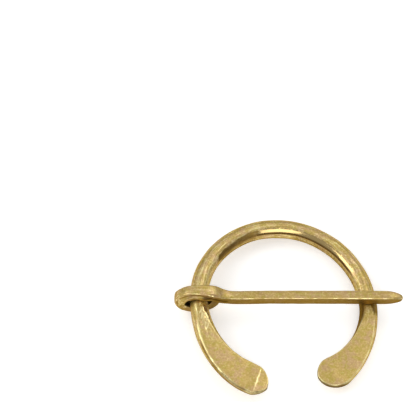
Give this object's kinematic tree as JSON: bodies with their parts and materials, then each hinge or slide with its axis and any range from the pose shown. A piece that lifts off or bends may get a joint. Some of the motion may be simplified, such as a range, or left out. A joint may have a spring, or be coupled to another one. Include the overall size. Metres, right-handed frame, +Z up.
{
  "type": "penannular fibula brooch",
  "caption": "Open ring brooch of forged brass wire with paddle-shaped ends and a loose pin looped round the ring.",
  "frame": {"origin": "on the surface that the brooch lies on, under the middle of its bounding box", "axes": "+X along the pin from its loop to its point, +Y away from the ring's open mouth, +Z up from the table"},
  "size_m": [0.0502, 0.0436, 0.009],
  "materials": {
    "ring_brass": "tumbled satin brass with brighter rubbed edges and hammer marks",
    "pin_brass": "tumbled satin brass with brighter rubbed edges"
  },
  "bodies": {
    "ring": {"ring": "ring_brass"},
    "pin": {"pin": "pin_brass"}
  },
  "joints": [
    {"name": "pin_swing", "type": "hinge", "parent": "ring", "child": "pin", "pos_m": [-0.01973, 0.00133, 0.00441], "axis": [0.0158, -0.9996, 0.0235], "range_deg": [0, 348]}
  ]
}
